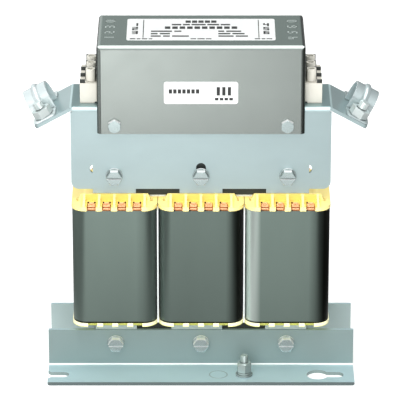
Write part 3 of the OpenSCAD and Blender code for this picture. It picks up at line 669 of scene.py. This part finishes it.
def threaded_studs(bright, dull):
    """The earth stud, and the four welded studs that hold the shield straps."""
    nut_top, stud_r, free_r, earth_l, earth_pitch = 8.3, 2.5, 2.42, 14.7, 0.8
    rod = threaded_rod(lambda z: stud_r if z < nut_top else free_r, earth_l, earth_pitch, nut_top)
    earth = Shape()
    earth.add(rod, Matrix.Translation((EARTH_X, EARTH_Y, 0.0)))
    earth.make("earth_stud_thread", dull, stands_for=("earth_stud",))

    clamp_r, clamp_l, clamp_pitch, neck = 3.0, 12.6, 1.0, 1.2
    along_wing, off_middle = 16.7, 14.0
    rod = threaded_rod(lambda z: clamp_r, clamp_l, clamp_pitch, SHEET_T + neck)
    clamps = Shape()
    for side in (-1, 1):
        for y in (-off_middle, off_middle):
            clamps.add(rod, Matrix.Translation((side * WING_X, 0.0, WING_Z))
                       @ Matrix.Rotation(side * WING_SLOPE, 4, "Y")
                       @ Matrix.Translation((side * along_wing, y, -SHEET_T)))
    clamps.make("clamp_stud_threads", bright, stands_for=("clamp_studs",))


def notch_floors(mat):
    """The formers' own floors in the notches of the lower flanges, front and rear."""
    half_w, inner, outer = 2.35, 20.5, 29.4
    bottom, top = COIL_LOW - 1.25, COIL_LOW - 0.1
    shape = Shape()
    for leg in LEGS:
        for notch in NOTCHES:
            x = leg + notch * RIB_PITCH
            for side in (-1, 1):
                near, far = sorted((side * inner, side * outer))
                shape.box(x - half_w, x + half_w, near, far, bottom, top)
    shape.make("notch_floors", mat, bevel=0.2)


def yoke_guards(mat):
    """Light strips that cover the yoke's front edge above the front base angle."""
    front, rear, bottom, top = -19.6, -18.05, 24.75, 27.5
    shape = Shape()
    for left, right in ((-62.5, -38), (-17.5, 12.5), (38, 62.5)):
        shape.box(left, right, front, rear, bottom, top)
    shape.make("yoke_guards", mat, bevel=0.2)


def earth_hexagon(mat):
    """The chamfered nut on the earth stud, 2 mm taller than the CAD's, as the photograph shows."""
    half_flats, low, high, turn, steps = 4.0, 4.3, 10.3, math.radians(-84), 48
    end_r, chamfer = half_flats * 0.96, math.tan(math.radians(30))
    rings = [[], [], [], []]
    for a in full_turn(steps):
        corner = (a + math.pi / 6) % (math.pi / 3) - math.pi / 6
        wide = half_flats / math.cos(math.pi / 6 - abs(corner))
        drop = (wide - end_r) * chamfer
        for ring, r, z in zip(rings, (end_r, wide, wide, end_r),
                              (low, low + drop, high - drop, high)):
            ring.append((EARTH_X + r * math.cos(a + turn), EARTH_Y + r * math.sin(a + turn), z))
    shape = Shape()
    shape.loft(rings)
    shape.make("earth_hexagon", mat, stands_for=("earth_nut",), bevel=0.1)


def notch_shade_dots(mat):
    """Dark round beads at the corners of the front notches, painted shade where those corners look
    dark. The left coil's notches have one at each inner corner, and the others have one inside and
    one at the mouth."""
    radius, stacks, pole, inset = 0.55, 6, 0.02, 0.3
    inner_y, inner_z = -23.0, COIL_TOP + 2.3
    mouth_y, mouth_z = -30.8, COIL_TOP + 0.3
    shape = Shape()
    for leg in LEGS:
        for notch in NOTCHES:
            left = leg + notch * RIB_PITCH - NOTCH_W / 2
            inner_left = (left + inset, inner_y, inner_z)
            inner_right = (left + NOTCH_W - inset, inner_y, inner_z)
            at_mouth = (left, mouth_y, mouth_z)
            for x, y, z in (inner_left, inner_right if leg < 0 else at_mouth):
                rings = []
                for stack in range(stacks + 1):
                    b = math.pi * (stack / stacks - 0.5)
                    r = radius * max(math.cos(b), pole)
                    rings.append([(x + r * math.cos(a), y + r * math.sin(a),
                                   z + radius * math.sin(b)) for a in full_turn(WIRE_SIDES)])
                shape.loft(rings, capped=False)
    shape.make("notch_shade_dots", mat)


def digit(char, u, v, w, h, t):
    """Strokes of a plain seven-bar number as (u0, u1, v0, v1), with its lower left at (u, v)."""
    half = h / 2
    bars = {
        "a": (u, u + w, v + h - t, v + h), "g": (u, u + w, v + half - t / 2, v + half + t / 2),
        "d": (u, u + w, v, v + t), "f": (u, u + t, v + half, v + h), "e": (u, u + t, v, v + half),
        "b": (u + w - t, u + w, v + half, v + h), "c": (u + w - t, u + w, v, v + half),
    }
    return [bars[key] for key in SEGMENTS[char]]


def dashes(u0, u1, v, h, pattern):
    """A row of bars from u0 to u1 that stands in for a line of print. pattern gives their lengths
    in proportion."""
    gap = 0.7
    scale = (u1 - u0) / (sum(pattern) + gap * (len(pattern) - 1))
    bars, u = [], u0
    for length in pattern:
        bars.append((u, u + length * scale, v, v + h))
        u += (length + gap) * scale
    return bars


def label_bars(lines, base):
    """The bars of all lines of print on a label, whose distances are measured from base."""
    bars = []
    for left, right, v, height, pattern in lines:
        bars += dashes(left, right, base + v, height, pattern)
    return bars


def print_on_top(name, bars, base_z, thickness, mat):
    """Bars of print on a level face."""
    shape = Shape()
    for u0, u1, v0, v1 in bars:
        shape.box(u0, u1, v0, v1, base_z, base_z + thickness)
    shape.make(name, mat)


def top_label(film, ink):
    """The label on the hood, with bars and plain numbers where the photograph has text."""
    width, depth, radius, mid_y = 86.0, 37.8, 1.5, 7.2
    edge_h, edge_inset = 0.1, 0.06
    rings = []
    for z, inset in ((HOOD_TOP, 0.0), (HOOD_TOP + edge_h, 0.0), (LABEL_TOP, edge_inset)):
        loop = rounded_loop(width - 2 * inset, depth - 2 * inset, radius - inset)
        rings.append([(px, py + mid_y, z) for px, py in loop])
    shape = Shape()
    shape.loft(rings)
    shape.make("top_label_film", film, stands_for=("top_label",))

    front = mid_y - depth / 2
    rule_w, rule_start, rule_end = 0.5, 4.0, 36.0
    bars = [(u, u + rule_w, front + rule_start, front + rule_end) for u in (-33.7, 33.2)]
    bars += label_bars(TOP_LABEL_LINES, front)
    digit_size, first_row, row_pitch = (3.4, 5.4, 1.1), 24.5, 7.0
    for u, numbers in ((-40.0, "123"), (36.2, "456")):
        for row, char in enumerate(numbers):
            bars += digit(char, u, front + first_row - row_pitch * row, *digit_size)
    print_on_top("top_label_print", bars, LABEL_TOP, PRINT_T, ink)


def front_label_print(ink):
    """Bars on the small front label, where the photograph has text and a mark."""
    mid_z, mark_w, mark_low, mark_high = 174.8, 1.9, -1.6, 3.6
    bars = label_bars(FRONT_LABEL_LINES, mid_z)
    bars += [(u, u + mark_w, mid_z + mark_low, mid_z + mark_high) for u in (9.0, 12.2, 15.4)]
    shape = Shape()
    for u0, u1, v0, v1 in bars:
        shape.box(u0, u1, LABEL_FRONT - PRINT_T, LABEL_FRONT, v0, v1)
    shape.make("front_label_print", ink)


def hood_marks(mat):
    """Plain numbers, turned by a quarter, beside the label on the hood's top."""
    width, height, stroke = 3.6, 5.6, 0.75
    off_middle, first_y, row_pitch, thickness = 53.0, -9.5, 10.0, 0.03
    bars = []
    for side, numbers in ((-1, "1230"), (1, "4560")):
        foot = side * off_middle + height / 2
        for row, char in enumerate(numbers):
            y = first_y + row_pitch * row
            for u0, u1, v0, v1 in digit(char, 0.0, 0.0, width, height, stroke):
                bars.append((foot - v1, foot - v0, y + u0, y + u1))
    print_on_top("hood_marks", bars, HOOD_TOP, thickness, mat)


def foot_stamp(mat):
    """The shallow stamped ring on the front foot. Its profile gives the distance outward from the
    ring's middle line, and the height."""
    cx, cy, radius, steps = 10.2, -34.3, 5.2, 40
    profile = ((-0.4, 1.99), (-0.2, 2.1), (0.2, 2.1), (0.4, 1.99))
    shape = Shape()
    shape.hoop([[(cx + (radius + out) * math.cos(a), cy + (radius + out) * math.sin(a), z)
                 for a in full_turn(steps)] for out, z in profile])
    shape.make("foot_stamp", mat)


def glowing(name, recipe):
    """A material that only glows, for the stage."""
    mat = bpy.data.materials.new(name)
    mat.use_nodes = True
    nodes = Nodes(mat.node_tree)
    nodes.tree.nodes.remove(nodes.tree.nodes["Principled BSDF"])
    glow = nodes.add("ShaderNodeEmission", {"Color": recipe(nodes)})
    nodes.feed(glow.outputs[0], nodes.tree.nodes["Material Output"].inputs["Surface"])
    return mat


def ground(name, z, mat):
    """A level square of the stage, wide enough to fill every view."""
    half = 6.0
    mesh = bpy.data.meshes.new(name)
    mesh.from_pydata([(-half, -half, z), (half, -half, z), (half, half, z), (-half, half, z)], [],
                     [(0, 1, 2, 3)])
    mesh.materials.append(mat)
    plane = link(name, mesh)
    return plane


def bounce_light(nodes):
    """What shiny metal sees of the ground. A lane runs in front of the object, under it and behind
    it. It is dim next to the feet and bright farther out, more so at the left. Both sides of the
    lane are dim, and far to the left and right the ground is even."""
    x, y, _ = nodes.xyz()
    away_x, away_y = nodes.absolute(x), nodes.absolute(y)
    near = nodes.larger(nodes.ramp(away_y, 0.05, 0.34, 0.36, 0.92),
                        nodes.ramp(away_y, 0.025, 0.05, 1.0, 0.3))
    far = nodes.times(nodes.ramp(away_y, 0.36, 0.56), nodes.ramp(x, -0.12, 0.12, 1.15, -0.1))
    lane = nodes.times(nodes.plus(near, far), nodes.ramp(x, -0.12, 0.12, 1.12, 0.86))
    level = nodes.mix(nodes.ramp(away_x, 0.11, 0.17), lane, nodes.ramp(x, -0.2, 0.2, 0.20, 0.05))
    return nodes.mix(nodes.ramp(away_x, 0.26, 0.42), level, (0.45, 0.45, 0.45))


def studio_world():
    """Light from all round: white in front, grey behind and at the sides, darker to the right, with
    a bright strip high up in front that the hood's upper edge mirrors."""
    world = bpy.data.worlds.new("studio")
    bpy.context.scene.world = world
    world.use_nodes = True
    nodes = Nodes(world.node_tree)
    x, y, z = nodes.split(nodes.add("ShaderNodeTexCoord").outputs["Generated"])
    away = nodes.absolute(x)
    back = nodes.mix(nodes.ramp(x, -0.35, 0.0), (1.05, 1.1, 1.1), (0.42, 0.45, 0.45))
    back = nodes.mix(nodes.ramp(x, 0.0, 0.35), back, (0.28, 0.30, 0.30))
    tint = nodes.mix(nodes.ramp(y, 0.15, -0.3), back, (1.05, 1.08, 1.08))
    side = nodes.mix(nodes.ramp(x, -0.2, 0.2), (0.50, 0.53, 0.53), (0.34, 0.36, 0.36))
    tint = nodes.mix(nodes.ramp(away, 0.4, 0.75), tint, side)
    lean = nodes.minus(z, nodes.times(y, 0.6))
    strip = nodes.times(nodes.ramp(lean, 0.5, 0.65), nodes.ramp(z, 0.4, 0.55))
    strip = nodes.times(strip, nodes.ramp(away, 0.36, 0.24))
    background = world.node_tree.nodes["Background"]
    nodes.feed(nodes.mix(strip, tint, (3.2, 3.2, 3.2)), background.inputs["Color"])
    nodes.feed(0.8, background.inputs["Strength"])


def area_light(name, at, towards, size, power):
    data = bpy.data.lights.new(name, "AREA")
    data.shape = "RECTANGLE"
    data.size, data.size_y = size
    data.energy = power
    lamp = link(name, data)
    lamp.location = at
    lamp.rotation_euler = (Vector(towards) - Vector(at)).to_track_quat("-Z", "Y").to_euler()
    return lamp


def studio():
    """Pale floor, soft front and overhead light, and a fill light on the coil formers alone, which
    the photograph shows as bright under the bracket as beside it."""
    white_floor = material("floor_white", colour=mottled((0.93, 0.93, 0.93), 0.01, 3),
                           roughness=varied(0.55, 0.65, 8), Emission_Strength=0.3,
                           Emission_Color=WHITE)
    floor = ground("floor", 0.0, white_floor)
    floor.visible_glossy = False
    bounce = ground("bounce_card", -0.5 * MM, glowing("bounce_glow", bounce_light))
    bounce.visible_camera = bounce.visible_diffuse = bounce.visible_shadow = False
    studio_world()
    key = area_light("key_light", (-0.9, -3.2, 0.95), (0.0, 0.0, 0.1), (2.4, 1.4), 48)
    key.visible_glossy = False
    area_light("top_light", (0.0, -0.5, 2.2), (0.0, -0.1, 0.0), (1.6, 0.9), 6)
    fill = area_light("formers_fill", (-0.1, -0.95, 1.25), (0.0, 0.0, 0.1), (0.8, 0.5), 26)
    formers = bpy.data.collections.new("formers")
    for node in ("bobbin_1", "bobbin_2", "bobbin_3"):
        formers.objects.link(NODES[node])
    fill.light_linking.receiver_collection = formers
    fill.light_linking.blocker_collection = formers
    bpy.context.scene.view_settings.view_transform = "Standard"


make_camera()
studio()

# Materials that several nodes or pieces share
# dull_zinc gets painted shade on faces turned to +X.
dull_zinc = plated("dull_zinc_plate", (0.46, 0.54, 0.52), 0.5, shaded_right=True)
nut_zinc = plated("nut_zinc", (0.74, 0.81, 0.80), 0.55)
film = moulded("label_white", (0.90, 0.91, 0.90), 0.015, 0.3, 0.4, 300)
ink = moulded("label_ink", (0.03, 0.03, 0.03), 0.1, 0.4, 0.5)
copper = copper_wire()

# CAD nodes
dress(("upper_bracket", "rear_yoke_plate"), sheet_steel(), 0.25)
# Painted shade on the upright faces, deeper on the front angle than on the rear one.
dress(("front_base_bracket",), base_steel("dull_zinc_front", (0.285, 0.37, 0.365)), 0.25)
dress(("rear_base_bracket",), base_steel("dull_zinc_rear", (0.46, 0.57, 0.57)), 0.25)
dress(("core_stack", "core_yoke"), core_steel(), 0.3)
dress(("leg_gap_pads", "phase_sheets", "window_strips"),
      moulded("pressboard", (0.72, 0.75, 0.74), 0.04, 0.5, 0.65, 400))
dress(("bobbin_1", "bobbin_2", "bobbin_3"), yellow_moulding(), 0.22)
dress(("coil_wrap_1", "coil_wrap_2", "coil_wrap_3"), wrap_film())
dress(("hood",), hood_paint())
dress(("core_bolts_lower", "core_bolts_upper", "core_bolt_washers", "core_bolt_nuts",
       "hood_screws"), bolt_zinc(), 0.12)
dress(("hood_nuts", "board_spacers", "shelf_rivets", "terminal_screws"),
      plated("zinc_plate", (0.52, 0.60, 0.60), 0.75), 0.12)
dress(("clamp_nuts",), nut_zinc, 0.12)
dress(("earth_washer", "earth_spring_washer", "earth_nut"), dull_zinc, 0.12)
# The left strap is painted lighter and the right one darker, as lit and shaded copies of one zinc.
dress(("shield_strap_left",), plated("strap_zinc_left", (0.80, 0.88, 0.89), 0.5), 0.15)
dress(("shield_strap_right",), plated("strap_zinc_right", (0.62, 0.71, 0.72), 0.65), 0.15)
# Painted shade in the creases of the terminal blocks.
dress(("terminal_block_left", "terminal_block_right"),
      moulded("cream_moulding", (0.74, 0.715, 0.635), crease_shade=(0.26, 0.24, 0.20)), 0.2)
dress(("terminal_barriers_left", "terminal_barriers_right"),
      moulded("black_moulding", (0.035, 0.04, 0.037), 0.1), 0.1)
dress(("terminal_cages",), plated("cage_brass", (0.80, 0.66, 0.36), 0.6, (0.3, 0.4)))
dress(("circuit_board",), moulded("board_green", (0.05, 0.20, 0.08), 0.08))
dress(("film_capacitors",), moulded("capacitor_blue", (0.08, 0.16, 0.42), 0.05, 0.25, 0.35))
dress(("damping_resistors",), moulded("resistor_tan", (0.50, 0.38, 0.25), 0.08))
dress(("front_label",), film)

# New pieces
earth_hexagon(dull_zinc)
top_label(film, ink)
front_label_print(ink)
hood_marks(moulded("pale_print", (0.46, 0.52, 0.50), 0.06, 0.45, 0.55))
foot_stamp(plated("stamped_zinc", (0.36, 0.47, 0.48), 0.4, (0.42, 0.48)))
yoke_guards(moulded("edge_guard", (0.36, 0.43, 0.42)))
threaded_studs(nut_zinc, dull_zinc)
notch_shade_dots(moulded("notch_dot_black", (0.03, 0.028, 0.02), 0.1, 0.4, 0.5))
# The greenish yellow of the notch floors is painted shade.
notch_floors(moulded("yellow_green_moulding", (0.66, 0.66, 0.16)))
for coil in range(len(LEGS)):
    coil_turns(coil, copper)
